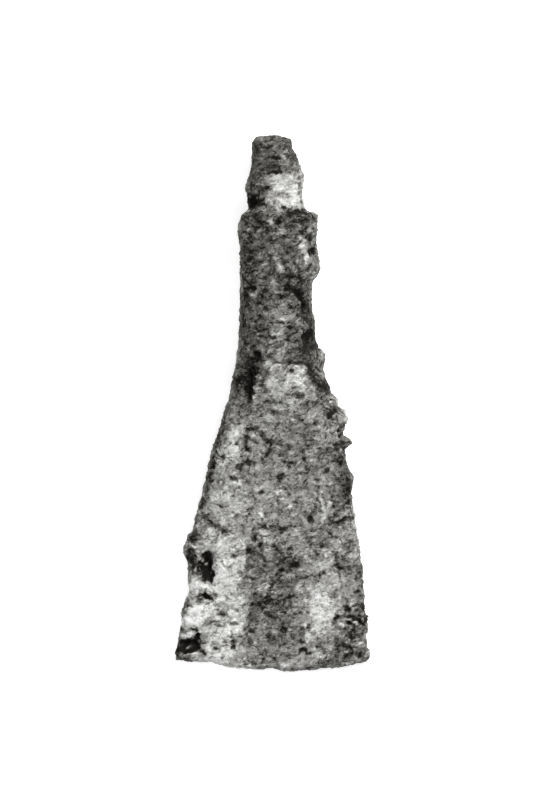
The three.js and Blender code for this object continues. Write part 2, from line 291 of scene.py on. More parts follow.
    {"pixel": (271.3, 222.5), "size": (1.5, 1.4), "tone": 0.65, "firm": 0.2},
    {"pixel": (248, 230), "size": (1.5, 1.1), "tone": 0.6},
    {"pixel": (259.7, 231.5), "size": (1.4, 1.3), "tone": 0.6},
    {"pixel": (283.5, 229), "size": (4.6, 3), "tone": 0.3},
    {"pixel": (275, 236), "size": (0.9, 2.6), "tone": 0.3},
    {"pixel": (299, 226), "size": (0.9, 1.2), "tone": 0.4},
    {"pixel": (299.5, 237), "size": (0.9, 2.6), "tone": 0.6},
    {"pixel": (301.5, 246.5), "size": (2.0, 2.0), "turn": 15, "tone": 0.3},
    {"pixel": (306, 255), "size": (1.6, 4.4), "turn": 8, "tone": 0.5},
    {"pixel": (297, 261), "size": (0.8, 3.0), "turn": 6, "tone": 0.6},
    {"pixel": (305.5, 260), "size": (0.9, 4.8), "turn": -10, "tone": 0.65},
    {"pixel": (309, 272), "size": (1.3, 1.1), "tone": 0.5},
    {"pixel": (309, 229), "size": (1.4, 2.0), "tone": 0.35},
    {"pixel": (312.5, 250.5), "size": (2.2, 1.6), "turn": 30, "rise": -0.5, "tone": -1.2, "firm": 0.3},
    {"pixel": (314, 261), "size": (1.8, 4.2), "tone": -0.15, "calm": 0.7},
    {"pixel": (289.5, 248), "size": (2.0, 2.8), "tone": -0.5},
    {"pixel": (277, 258), "size": (2.4, 1.8), "turn": -20, "tone": 0.8},
    {"pixel": (281, 268), "size": (3.0, 4.0), "turn": 14, "tone": 1.15, "firm": 0.2, "calm": 0.5},
    {"pixel": (279.5, 262.5), "size": (1.6, 2.6), "tone": 0.6},
    {"pixel": (296, 268), "size": (8, 8), "tone": 0.2},
    {"pixel": (271, 273.5), "size": (0.7, 0.7), "tone": 0.7},
    {"pixel": (270, 265), "size": (1.1, 3), "tone": -0.4},
    {"pixel": (249, 288), "size": (1.8, 1.1), "rise": -0.2, "tone": -0.9, "firm": 0.3},
    {"pixel": (253, 295.5), "size": (2.9, 1.6), "tone": 0.85},
    {"pixel": (256, 264), "size": (8, 14), "tone": 0.55, "streaks": {"turn": -60, "wide": 0.6, "long": 2.4}},
    # the lower half of the shank
    {"pixel": (281, 318), "size": (9.6, 9.6), "tone": 0.45, "rise": 0.15, "firm": 0.3},
    {"pixel": (283, 319.5), "size": (3.3, 1.4), "turn": 10, "tone": 0.45},
    {"pixel": (277.5, 332), "size": (3.7, 2.5), "tone": 0.5},
    {"pixel": (267, 315), "size": (2, 2), "tone": 0.3},
    {"pixel": (297, 322), "size": (2.4, 1.9), "tone": 0.3},
    {"pixel": (285, 304), "size": (2.6, 2.4), "tone": 0.3},
    {"pixel": (279.8, 322.8), "size": (2.0, 1.1), "tone": -0.7, "firm": 0.5},
    # a deep crease on the right shoulder, darkened further with painted shade
    {"pixel": (307.5, 338.5), "size": (3.4, 5.2), "turn": -28, "rise": -0.9, "tone": -1.9, "firm": 0.4},
    {"pixel": (299.5, 298), "size": (1.4, 2.8), "turn": 30, "rise": -0.3, "tone": -1.2, "firm": 0.3},
    {"pixel": (256, 350), "size": (3.6, 1.7), "tone": 0.35},
    {"pixel": (278, 351), "size": (6, 3.2), "tone": 0.35},
    {"pixel": (285, 348), "size": (1.6, 3.4), "turn": -20, "tone": 0.35},
    # the mound on the shoulder; its broad pale marks paint light on its crown and its broad dark ones paint
    # shade on its flanks
    {"pixel": (241, 376), "size": (1.6, 1.4), "tone": -0.5},
    {"pixel": (261, 382), "size": (2.4, 9), "turn": -5, "tone": -0.25},
    {"pixel": (271, 383), "size": (3.4, 4.2), "tone": 0.55},
    {"pixel": (308, 390), "size": (4, 3.4), "tone": -0.15},
    {"pixel": (308, 373), "size": (3.4, 4), "tone": -0.6},
    {"pixel": (306, 402), "size": (4, 3), "tone": -0.35},
    {"pixel": (291, 380.5), "size": (3.6, 1.4), "turn": -8, "tone": 0.4},
    {"pixel": (299, 382), "size": (4.8, 3), "turn": -10, "tone": 0.4},
    {"pixel": (276, 393), "size": (2.8, 2), "turn": 10, "tone": 0.4},
    {"pixel": (281, 409), "size": (1.8, 1.1), "turn": 20, "tone": 0.6},
    {"pixel": (273, 404), "size": (1.3, 1.1), "tone": 0.4},
    {"pixel": (298.5, 394.5), "size": (2.6, 1.8), "turn": -15, "rise": -0.3, "tone": -1.3, "firm": 0.4},
    {"pixel": (280, 403.5), "size": (1.2, 0.9), "rise": -0.2, "tone": -0.7},
    {"pixel": (276.7, 368.5), "size": (1.8, 1.8), "ring": 0.5, "tone": 0.3},
    {"pixel": (276.7, 368.5), "size": (0.8, 0.8), "tone": -0.5},
    {"pixel": (292.3, 371), "size": (2.6, 2.2), "ring": 0.7, "tone": 0.35},
    {"pixel": (291.8, 371), "size": (1.2, 0.9), "rise": -0.3, "tone": -1.1, "firm": 0.4},
    # painted highlight on the rim of the knob at the right outline
    {"pixel": (321, 357.5), "size": (1.8, 2.8), "tone": 0.4, "rise": 0.25},
    # painted shade in the creases below and left of the knob
    {"pixel": (317.5, 369), "size": (2.0, 0.9), "turn": -30, "rise": -0.3, "tone": -1.3},
    {"pixel": (317, 357), "size": (0.7, 2.2), "turn": 10, "rise": -0.3, "tone": -1.0},
    # painted highlights on the small nodules of the right outline, which also rise a little
    {"pixel": (336, 402), "size": (2.0, 2.4), "rise": 0.3, "tone": 0.75},
    {"pixel": (329, 402.5), "size": (1.2, 1.0), "tone": 0.7},
    {"pixel": (343.5, 417.5), "size": (3.0, 3.2), "rise": 0.35, "tone": 0.8, "firm": 0.4},
    {"pixel": (333, 411.5), "size": (2.4, 1.4), "turn": 35, "rise": -0.4, "tone": -1.5, "firm": 0.3},
    {"pixel": (330, 418), "size": (1.5, 1.4), "rise": -0.2, "tone": -1.1},
    {"pixel": (338.5, 413.5), "size": (1.1, 1.1), "tone": -0.9},
    {"pixel": (342.5, 426), "size": (1.7, 1.4), "tone": -0.8},
    {"pixel": (339, 431), "size": (1.2, 0.7), "tone": -0.7},
    {"pixel": (326, 409), "size": (7, 6), "turn": 30, "tone": -0.4},
    {"pixel": (252, 410), "size": (13, 6), "tone": -0.3},
    {"pixel": (338.5, 445.5), "size": (3.3, 1.9), "tone": -0.4},
    {"pixel": (341.5, 441.5), "size": (1.6, 0.9), "rise": -0.2, "tone": -1.2},
    {"pixel": (334.5, 446), "size": (1.5, 1.1), "rise": -0.2, "tone": -1.0},
    {"pixel": (343.5, 448), "size": (1.4, 1.4), "rise": -0.2, "tone": -1.1},
    # the upper blade
    {"pixel": (253, 435.3), "size": (1.8, 1.1), "turn": -12, "tone": 0.9, "rise": 0.15},
    {"pixel": (240.5, 467), "size": (2.1, 2.4), "turn": -25, "rise": -0.3, "tone": -1.2},
    {"pixel": (246.5, 461.5), "size": (2.2, 1.1), "rise": -0.2, "tone": -0.8, "firm": 0.2},
    {"pixel": (250, 463), "size": (2.8, 1.6), "rise": -0.3, "tone": -1.1},
    {"pixel": (249, 450), "size": (1.6, 1.4), "rise": -0.2, "tone": -0.9, "firm": 0.2},
    {"pixel": (291.5, 462.5), "size": (1.1, 0.6), "turn": -35, "tone": -0.9},
    {"pixel": (238.5, 424.5), "size": (1.2, 0.9), "tone": -0.8},
    {"pixel": (246, 426.5), "size": (1.1, 0.9), "tone": 0.8},
    {"pixel": (237, 433), "size": (1.2, 1.0), "tone": 0.8},
    {"pixel": (233.5, 479), "size": (2.0, 1.6), "rise": -0.2, "tone": -1.2},
    {"pixel": (281, 476), "size": (2.8, 2.2), "rise": -0.3, "tone": -1.25},
    {"pixel": (239, 488), "size": (1.6, 0.9), "tone": -0.5},
    {"pixel": (303.3, 458.3), "size": (1.0, 1.0), "rise": -0.2, "tone": -1.1},
    {"pixel": (307, 469), "size": (1.7, 0.9), "rise": -0.2, "tone": -0.6},
    {"pixel": (317, 480), "size": (1.8, 1.2), "rise": -0.2, "tone": -0.55},
    {"pixel": (300.5, 448), "size": (1.2, 1.2), "tone": -0.6},
    {"pixel": (281, 493), "size": (3.3, 1.7), "ring": 0.5, "tone": -0.5},
    {"pixel": (260.5, 513), "size": (1.3, 0.9), "tone": 0.7},
    {"pixel": (276, 504), "size": (1.3, 0.9), "tone": 0.7},
    {"pixel": (290.5, 505.5), "size": (1.4, 1.2), "tone": 0.7},
    {"pixel": (280, 512), "size": (2.4, 2.2), "tone": -0.4},
    {"pixel": (211.7, 474.5), "size": (1.0, 1.2), "tone": -0.6},
    {"pixel": (211, 481), "size": (1.1, 1.3), "tone": -0.7},
    {"pixel": (226, 531), "size": (3.2, 1.3), "turn": -15, "tone": -0.5},
    {"pixel": (224, 522), "size": (3.6, 1.5), "turn": -20, "tone": 0.4},
    {"pixel": (207, 534), "size": (3.7, 3.5), "tone": 0.45, "rise": 0.15},
    {"pixel": (196, 533), "size": (1.3, 2.7), "tone": -1.0},
    {"pixel": (254.5, 539), "size": (1.3, 1.2), "rise": -0.3, "tone": -0.9},
    {"pixel": (310.5, 520), "size": (1.8, 2.0), "rise": -0.7, "tone": -1.2, "firm": 0.4},
    {"pixel": (316.5, 529), "size": (1.3, 1.1), "rise": -0.2, "tone": -0.8},
    {"pixel": (320, 502), "size": (3, 12), "turn": 2, "tone": 0.8,
     "streaks": {"turn": 2, "wide": 0.45, "long": 5}},
    {"pixel": (320, 502), "size": (2.6, 11), "turn": 2, "calm": 0.85},
    {"pixel": (322.5, 508), "size": (1.3, 13), "turn": -1, "tone": 0.4, "calm": 0.5},
    {"pixel": (340.5, 481), "size": (1.3, 0.9), "rise": -0.2, "tone": -0.7},
    {"pixel": (329.5, 503), "size": (1.5, 1.7), "tone": 0.5},
    {"pixel": (352, 474), "size": (1.4, 3.2), "tone": 0.2},
    # the pits on the left of the lower blade; their dark upper parts are partly painted shadow, and the pale
    # spots and rims inside them are painted light on their lower walls
    {"pixel": (193, 539), "size": (3.0, 2.2), "tone": -1.0, "firm": 0.3},
    {"pixel": (195.5, 546.5), "size": (2.6, 0.7), "turn": -10, "tone": 0.8},
    {"pixel": (191, 557), "size": (2.6, 3.8), "rise": -0.4, "tone": -1.3, "firm": 0.4},
    {"pixel": (195, 568), "size": (3.2, 4.6), "rise": -0.2, "tone": -0.85, "firm": 0.4, "square": 3},
    {"pixel": (195.5, 568.5), "size": (0.5, 2.6), "turn": -20, "tone": 1.3},
    {"pixel": (191.5, 571), "size": (0.4, 1.6), "turn": -25, "tone": 0.9},
    {"pixel": (206.8, 558), "size": (3.0, 3.0), "turn": -20, "rise": -0.7, "tone": -1.2, "firm": 0.4},
    {"pixel": (201, 564), "size": (2.6, 2.6), "rise": -0.3, "tone": -0.7, "firm": 0.3},
    {"pixel": (210, 564), "size": (1.8, 2.2), "rise": -0.5, "tone": -0.5, "firm": 0.4},
    {"pixel": (206.7, 574), "size": (4.2, 5.9), "turn": 4, "rise": -1.0, "tone": -1.6, "firm": 0.6},
    {"pixel": (206.3, 564.8), "size": (1.0, 0.9), "tone": 2.9},
    {"pixel": (203, 579), "size": (2.6, 2.4), "tone": -0.9, "firm": 0.3},
    {"pixel": (203.5, 561), "size": (1.2, 1.6), "tone": 1.5},
    {"pixel": (207.5, 581.5), "size": (2.2, 1.1), "tone": 1.8},
    {"pixel": (194.5, 588), "size": (3.6, 3.2), "tone": 0.9, "firm": 0.3, "calm": 0.5},
    {"pixel": (205.5, 596.8), "size": (1.9, 1.3), "turn": -25, "rise": -0.6, "tone": -1.6, "firm": 0.4},
    {"pixel": (199, 602), "size": (2.6, 2.2), "turn": 30, "rise": -0.2, "tone": -0.8},
    {"pixel": (188, 606), "size": (2.6, 2.2), "turn": -20, "tone": -0.35},
    {"pixel": (189, 595), "size": (3.0, 2.2), "tone": 0.4},
    {"pixel": (195.5, 629), "size": (2.2, 0.9), "turn": -5, "tone": -1.0, "firm": 0.3},
    {"pixel": (181, 629.5), "size": (0.7, 0.9), "turn": 20, "tone": -1.2},
    {"pixel": (187.5, 634.5), "size": (3.6, 1.8), "turn": 12, "tone": 1.2},
    {"pixel": (188, 647.5), "size": (6.6, 4.0), "turn": 14, "rise": -0.5, "tone": -1.25, "firm": 0.6},
    {"pixel": (178, 652), "size": (2.6, 3), "tone": -1.2},
    {"pixel": (187, 642.5), "size": (4.0, 2.4), "turn": 16, "rise": -0.3, "tone": -1.1, "firm": 0.5},
    {"pixel": (197, 643.5), "size": (3.2, 4.0), "turn": -12, "rise": -0.5, "tone": -1.2, "firm": 0.4},
    {"pixel": (204, 643.5), "size": (2.2, 0.8), "turn": 10, "tone": -1.4},
    {"pixel": (202, 651.5), "size": (2.4, 1.2), "turn": -25, "tone": -1.5},
    {"pixel": (188, 648), "size": (1.8, 1.1), "turn": 20, "tone": 1.45},
    {"pixel": (198.5, 642), "size": (1.0, 1.5), "tone": 1.5},
    {"pixel": (193, 653.5), "size": (2.2, 0.7), "turn": 10, "tone": 1.8},
    {"pixel": (198.5, 634.5), "size": (1.3, 1.5), "rise": -0.3, "tone": -1.3, "firm": 0.4},
    {"pixel": (189, 660), "size": (5, 1.4), "turn": 4, "tone": -0.2},
    # the left of the edge
    {"pixel": (221.5, 614.5), "size": (2.9, 0.7), "turn": -8, "tone": -0.6},
    {"pixel": (238.5, 608), "size": (1.4, 0.5), "turn": 12, "tone": -0.8},
    {"pixel": (215, 621.5), "size": (3.4, 0.7), "turn": 10, "tone": -1.3},
    {"pixel": (219, 625.5), "size": (3.4, 0.6), "turn": 6, "tone": -1.3},
    # a pit whose dark is partly painted shadow; the next mark paints light on its lower rim
    {"pixel": (235, 623.5), "size": (2.8, 1.5), "tone": -0.85, "firm": 0.6, "calm": 0.9},
    {"pixel": (235, 630.5), "size": (4.2, 1.6), "tone": 0.6, "firm": 0.3, "calm": 0.4},
    {"pixel": (230, 636.5), "size": (1.6, 0.8), "tone": -0.5},
    {"pixel": (233, 645), "size": (1.4, 2.6), "rise": -0.3, "tone": -1.0, "firm": 0.4, "square": 4},
    # the dark middle
    {"pixel": (284.5, 559), "size": (2.8, 1.2), "turn": 8, "rise": -0.2, "tone": -0.9, "firm": 0.2},
    {"pixel": (295, 564), "size": (2.1, 1.9), "turn": -30, "rise": -0.3, "tone": -1.0, "firm": 0.3},
    {"pixel": (286.5, 572), "size": (1.1, 1.1), "tone": -0.7},
    {"pixel": (258, 572), "size": (2.8, 1.9), "ring": 0.5, "tone": 0.5},
    {"pixel": (267, 588), "size": (8.5, 6), "tone": 0.5, "streaks": {"centre": (271, 614), "wide": 0.8}},
    {"pixel": (271.7, 616.5), "size": (1.9, 1.2), "turn": -20, "rise": -0.25, "tone": -1.3},
    {"pixel": (268, 613), "size": (0.9, 0.9), "tone": -0.7},
    {"pixel": (315.5, 553.5), "size": (1.3, 1.7), "tone": -0.7},
    {"pixel": (321, 545.5), "size": (1.7, 1.3), "tone": -0.6},
    {"pixel": (306, 538), "size": (1.0, 1.0), "tone": -0.7},
    {"pixel": (306.5, 557), "size": (1.2, 1.2), "tone": 0.6},
    {"pixel": (308.3, 626.7), "size": (1.3, 1.7), "rise": -0.3, "tone": -0.7, "firm": 0.4},
    {"pixel": (307, 613), "size": (1.0, 1.0), "rise": -0.2, "tone": -0.9},
    {"pixel": (306.5, 638), "size": (1.6, 2.9), "tone": 0.8, "firm": 0.3},
    {"pixel": (302, 655.5), "size": (1.3, 1.3), "tone": 0.5},
    {"pixel": (284.5, 665.5), "size": (3.3, 1.3), "turn": -12, "tone": 0.8},
    # the right of the edge
    {"pixel": (320, 645), "size": (4, 4), "tone": -0.35},
    {"pixel": (352, 622), "size": (5, 8.4), "turn": 30, "tone": -0.2},
    {"pixel": (353, 606.5), "size": (1.1, 0.6), "turn": -10, "rise": -0.2, "tone": -1.2},
    {"pixel": (350, 610), "size": (1.2, 0.7), "rise": -0.2, "tone": -1.3},
    {"pixel": (350.5, 634.5), "size": (0.9, 0.6), "turn": -40, "rise": -0.2, "tone": -1.3},
    {"pixel": (340.5, 625), "size": (1.9, 1.1), "turn": 5, "tone": 0.9},
    {"pixel": (348, 646.5), "size": (1.5, 1.1), "rise": -0.3, "tone": -1.4, "firm": 0.3},
    {"pixel": (343.5, 642), "size": (0.9, 0.7), "turn": -45, "tone": -1.0},
    {"pixel": (337, 653), "size": (1.6, 0.6), "turn": 8, "rise": -0.2, "tone": -1.2},
    {"pixel": (346, 657.5), "size": (1.2, 0.8), "turn": 25, "rise": -0.2, "tone": -1.2},
    {"pixel": (346.5, 652), "size": (1.2, 0.8), "tone": 0.8},
    {"pixel": (329, 661), "size": (1.6, 0.7), "turn": 8, "rise": -0.2, "tone": -1.3},
    {"pixel": (360, 654), "size": (3.2, 2.6), "tone": -0.5},
    {"pixel": (364.5, 656), "size": (0.6, 0.5), "tone": 1.2},
    {"pixel": (364, 608.5), "size": (0.8, 1.2), "turn": 15, "tone": -1.2},
    {"pixel": (359, 643.5), "size": (1.3, 2.6), "turn": -40, "tone": 1.1},
]
# small bumps and dents of the outline; each pushes the skin sideways by millimetres across and along
wedge["pushes"] = [
    {"pixel": (341, 418), "size": (4.4, 5.4), "by": (1.5, 0.0)},
    {"pixel": (334, 401), "size": (3.4, 3.4), "by": (0.8, 0.5)},
    {"pixel": (346, 441.5), "size": (2.8, 2.6), "by": (0.75, -0.15)},
    {"pixel": (324, 372), "size": (3.4, 3.0), "by": (0.5, 0.0)},
    {"pixel": (314, 270), "size": (4.4, 9.0), "by": (0.7, -0.1)},
    {"pixel": (313, 322), "size": (3.0, 8.0), "by": (0.35, 0.0)},
    {"pixel": (303, 195), "size": (3.4, 5.0), "by": (-0.5, 0.0)},
    {"pixel": (301, 176), "size": (3.0, 5.4), "by": (0.35, 0.0)},
    {"pixel": (294, 149), "size": (3.0, 3.2), "by": (-0.75, 0.0)},
    {"pixel": (290, 139), "size": (2.6, 2.4), "by": (0.35, 0.2)},
    {"pixel": (247, 176), "size": (3.4, 5.4), "by": (0.4, 0.0)},
    {"pixel": (224, 664), "size": (9.0, 3.0), "by": (0.0, -0.35)},
    {"pixel": (271, 669), "size": (6.4, 5.0), "by": (0.0, 0.6)},
    {"pixel": (232, 667), "size": (4.4, 3.4), "by": (0.0, -0.4)},
    {"pixel": (179, 632), "size": (3.0, 8.0), "by": (-0.35, 0.0)},
    {"pixel": (270, 134), "size": (12.0, 3.0), "by": (0.0, -0.25)},
    {"pixel": (290, 670), "size": (3.6, 2.0), "by": (0.0, -0.35)},
    {"pixel": (366.5, 621), "size": (4.4, 8.0), "by": (0.25, 0.0)},
    {"pixel": (362, 572), "size": (5.0, 18.0), "by": (0.5, 0.0)},
    {"pixel": (368, 652), "size": (3.4, 5.4), "by": (0.55, -0.15)},
    {"pixel": (342, 665), "size": (14.0, 3.0), "by": (0.0, -0.3)},
    {"pixel": (194, 662), "size": (9.0, 2.4), "by": (0.0, -0.2)},
    {"pixel": (177, 652), "size": (3.0, 5.4), "by": (-0.4, 0.0)},
    {"pixel": (186, 592), "size": (3.4, 4.4), "by": (0.4, 0.0)},
    {"pixel": (190, 534), "size": (3.0, 3.4), "by": (-0.35, 0.1)},
    {"pixel": (203, 486), "size": (4.0, 18.0), "by": (0.35, 0.0)},
    {"pixel": (232, 363), "size": (4.0, 11.0), "by": (0.45, 0.0)},
    {"pixel": (238, 268), "size": (3.0, 22.0), "by": (0.55, 0.0)},
    {"pixel": (251, 158), "size": (3.0, 10.0), "by": (0.3, 0.0)},
    {"pixel": (284, 135), "size": (5.0, 2.0), "by": (0.0, -0.4)},
    {"pixel": (369, 636), "size": (2.0, 2.0), "by": (-0.3, 0.0)},
]
# cracks and creases run from pixel to pixel; those with a depth below zero are ridges
wedge["cracks"] = [
    # the crack at the foot of the ledge, a shallow groove darkened further by a painted shadow line
    {"pixels": [(282, 207), (290, 212)], "wide": 0.5, "deep": 0.2, "tone": -1.1},
    {"pixels": [(290, 212.5), (304, 213)], "wide": 1.0, "deep": 0.4, "tone": -2.0},
    {"pixels": [(266.5, 173.2), (276, 173.8)], "wide": 0.4, "deep": 0.2, "tone": -0.9},
    {"pixels": [(252, 227.5), (265, 227.5)], "wide": 0.35, "deep": 0.2, "tone": -0.6},
    {"pixels": [(286, 287), (292, 290.5), (298, 296), (302, 304), (303, 312)],
     "wide": 1.0, "deep": 0.5, "tone": -1.0},
    {"pixels": [(268, 329), (269, 337), (275, 339)], "wide": 0.5, "deep": 0.25, "tone": -0.8},
    # the crease left of the mound, a real groove darkened further with painted shade
    {"pixels": [(257, 353), (254, 362), (251, 372), (250, 385), (248.5, 399)],
     "wide": 1.5, "deep": 0.6, "tone": -1.4},
    {"pixels": [(262, 371), (266, 362), (276, 357), (288, 358)], "wide": 0.8, "deep": -0.1, "tone": 0.3},
    {"pixels": [(283, 369), (290, 363.5), (303, 363.5), (313, 371)], "wide": 0.8, "deep": 0.2, "tone": -0.55},
    {"pixels": [(247.5, 431), (246.5, 449)], "wide": 0.8, "deep": 0.2, "tone": -0.8},
    {"pixels": [(248, 430), (256, 427.5), (264, 434)], "wide": 0.9, "deep": 0.2, "tone": -0.85},
    {"pixels": [(262, 435), (271.5, 444), (269.5, 452), (264, 457)], "wide": 0.8, "deep": 0.2, "tone": -0.8},
    {"pixels": [(250, 439), (258, 441.5)], "wide": 0.5, "deep": 0.2, "tone": -0.7},
    {"pixels": [(263, 436), (273, 437), (283, 434)], "wide": 0.5, "deep": -0.05, "tone": 0.4},
    # a dark line with no depth along the blade's left edge, painted shade of its shadowed side
    {"pixels": [(224, 420), (213, 460), (208, 485), (202, 507)], "wide": 1.3, "deep": 0.0, "tone": -0.7},
    {"pixels": [(262, 527.5), (270, 528.5), (280, 528), (292, 526)], "wide": 0.9, "deep": 0.1, "tone": -0.45},
    {"pixels": [(201.7, 517), (209, 522), (217, 527), (226, 532)], "wide": 1.3, "deep": 0.25, "tone": -0.6},
    {"pixels": [(337, 525), (341, 520), (348, 517), (354, 518)], "wide": 0.7, "deep": 0.3, "tone": -0.9},
    {"pixels": [(222, 562.5), (227.5, 567.5), (234, 563.5)], "wide": 0.6, "deep": 0.2, "tone": -0.8},
    {"pixels": [(236, 578), (250, 578.5), (262, 577.5)], "wide": 0.35, "deep": 0.15, "tone": -0.7},
    {"pixels": [(249, 627), (243, 633), (239, 641)], "wide": 0.9, "deep": 0.1, "tone": -0.5},
    {"pixels": [(275.5, 603.5), (284, 600), (292, 597.5)], "wide": 0.6, "deep": 0.2, "tone": -0.55},
    {"pixels": [(301, 578.5), (308, 576.5), (314, 574.5)], "wide": 0.6, "deep": 0.2, "tone": -0.6},
    {"pixels": [(335.5, 553), (337.5, 563), (343, 568)], "wide": 1.1, "deep": 0.2, "tone": -0.65},
    {"pixels": [(347, 616.5), (352, 617), (356, 619.5), (360, 623)], "wide": 0.9, "deep": 0.3, "tone": -1.3},
    {"pixels": [(348.5, 622), (354, 626)], "wide": 0.7, "deep": 0.15, "tone": -1.0},
    {"pixels": [(346, 619.5), (352, 621), (357, 625)], "wide": 0.6, "deep": -0.1, "tone": 0.6},
    {"pixels": [(348, 633), (353, 637.5)], "wide": 0.7, "deep": 0.2, "tone": -1.0},
    {"pixels": [(345, 629), (352, 629.5), (355.5, 632)], "wide": 0.7, "deep": 0.2, "tone": -0.9},
    {"pixels": [(345, 616), (338, 616.5), (334, 621), (335, 628), (344, 629.5)],
     "wide": 0.8, "deep": 0.2, "tone": -0.6},
    # the lit lower rim of the pit at the left of the edge, painted light on low ridges
    {"pixels": [(228, 627.5), (233.5, 619), (242, 625)], "wide": 0.5, "deep": -0.15, "tone": 1.0},
    {"pixels": [(228, 628), (241, 627.5)], "wide": 0.8, "deep": -0.1, "tone": 0.8},
    {"pixels": [(267, 172), (272, 174), (281, 172.5)], "wide": 0.5, "deep": 0.1, "tone": -0.8},
    # the black crescent under the top wall of a pit, a shallow groove darkened as painted shadow
    {"pixels": [(198.5, 597.5), (204, 594.5), (208, 597), (211, 601)],
     "wide": 0.9, "deep": 0.4, "tone": -1.2},
    {"pixels": [(207, 661.5), (218, 662.5), (236, 666), (250, 668)], "wide": 1.8, "deep": 0.0, "tone": 0.6},
    {"pixels": [(304, 631), (305.5, 622)], "wide": 0.5, "deep": -0.05, "tone": 0.5},
    {"pixels": [(299.5, 653), (301, 649), (305, 649.5), (307, 653)], "wide": 0.6, "deep": 0.3, "tone": -1.3},
    {"pixels": [(283, 627), (286, 630), (285.5, 634)], "wide": 0.7, "deep": 0.25, "tone": -1.1},
    {"pixels": [(311, 641), (318, 652), (325, 660)], "wide": 0.8, "deep": -0.05, "tone": 0.35},
    {"pixels": [(331, 645), (329, 654), (325, 660)], "wide": 0.8, "deep": -0.05, "tone": 0.35},
]


def plainCopy(source, name):
    data = source.data.copy()
    data.materials.clear()
    edited = bmesh.new()
    edited.from_mesh(data)
    bmesh.ops.remove_doubles(edited, verts=edited.verts, dist=wedge["weld"] * mm)
    edited.to_mesh(data)
    edited.free()
    made = bpy.data.objects.new(name, data)
    scene.collection.objects.link(made)
    return made


def bakeModifiers(piece):
    depsgraph = bpy.context.evaluated_depsgraph_get()
    made = bpy.data.meshes.new_from_object(piece.evaluated_get(depsgraph), depsgraph=depsgraph)
    piece.modifiers.clear()
    piece.data = made


def fineSkin(name):
    piece = plainCopy(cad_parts["iron_wedge"], name)
    remesh = piece.modifiers.new("fine", "REMESH")
    remesh.mode = "VOXEL"
    remesh.voxel_size = wedge["skinStep"] * mm
    soften = piece.modifiers.new("soften", "SMOOTH")
    soften.iterations = wedge["smoothing"]
    bakeModifiers(piece)
    below = wedge["hiddenBelow"]
    hidden = piece.vertex_groups.new(name="hidden")
    hidden.add([point.index for point in piece.data.vertices if point.normal.z < below], 1.0, "REPLACE")
    thin = piece.modifiers.new("thin", "DECIMATE")
    thin.vertex_group = "hidden"
    share = sum(face.normal.z < below for face in piece.data.polygons) / len(piece.data.polygons)
    thin.ratio = 1 - share * (1 - wedge["undersideShare"])
    bakeModifiers(piece)
    piece.vertex_groups.clear()
    return piece


def smoothStep(low, high, value):
    share = np.clip((value - low) / (high - low), 0, 1)
    return share * share * (3 - 2 * share)


def drift(places, size, start):
    # for each point a smooth push of about one at most, which makes the outlines of marks wander
    shifted = (places + start) / size
    detail = wedge["driftDetail"]
    return np.array([noise.turbulence_vector(Vector(place), detail, False) for place in shifted])[:, :2]


def turned(across, along, degrees):
    turn = math.radians(degrees)
    return across * math.cos(turn) + along * math.sin(turn), along * math.cos(turn) - across * math.sin(turn)


def markShape(mark, flat, slow, quick):
    wide, long = mark["size"]
    wander = min(1.0, (wide + long) / wedge["fullWander"])
    if wide + long < wedge["smallMark"]:
        wide, long = wide * wedge["smallSpread"], long * wedge["smallSpread"]
    moved = flat + slow * wander * wedge["slowWander"] + quick * wander**0.5 * wedge["quickWander"]
    across, along = turned(*(moved - spot(mark["pixel"])).T, mark.get("turn", 0))
    power = mark.get("square", 2)
    reach = (np.abs(across / (wide / 2)) ** power + np.abs(along / (long / 2)) ** power) ** (1 / power)
    if "ring" in mark:
        rim = mark["ring"] / (wide + long) * 2
        return np.exp(-(((reach - 1) / rim) ** 2))
    shape = 1 - smoothStep(mark.get("firm", 0.0), 1, reach)
    if "cut" in mark:
        shape *= smoothStep(-mark["cut"] / 2, mark["cut"] / 2, across)
    if "streaks" in mark:
        shape *= streakShape(mark["streaks"], moved, shape)
    return shape


def streakShape(streaks, moved, shape):
    # a ripple between minus one and one, along straight lines or round a centre
    if "centre" in streaks:
        away = np.hypot(*(moved - spot(streaks["centre"])).T)
        return np.sin(away * 2 * math.pi / streaks["wide"])
    across, along = turned(*moved.T, streaks["turn"])
    ripple = np.zeros(len(moved))
    for at in np.flatnonzero(shape > wedge["faint"]):
        place = (across[at] / streaks["wide"], along[at] / streaks["long"], wedge["streakPlace"])
        ripple[at] = noise.noise(Vector(place))
    return ripple * wedge["streakGain"]


def crackShape(crack, flat, slow, quick):
    moved = flat + slow * wedge["crackWander"] * wedge["slowWander"] + quick * wedge["quickWander"]
    nearest = np.full(len(flat), np.inf)
    places = [np.array(spot(pixel)) for pixel in crack["pixels"]]
    for start, end in zip(places, places[1:]):
        run = end - start
        share = np.clip((moved - start) @ run / (run @ run), 0, 1)
        nearest = np.minimum(nearest, np.hypot(*(moved - start - share[:, None] * run).T))
    return np.exp(-((nearest / (crack["wide"] / 2)) ** 2))


def readVectors(rows, name):
    values = np.empty(len(rows) * 3, np.float32)
    rows.foreach_get(name, values)
    return values.reshape(-1, 3)


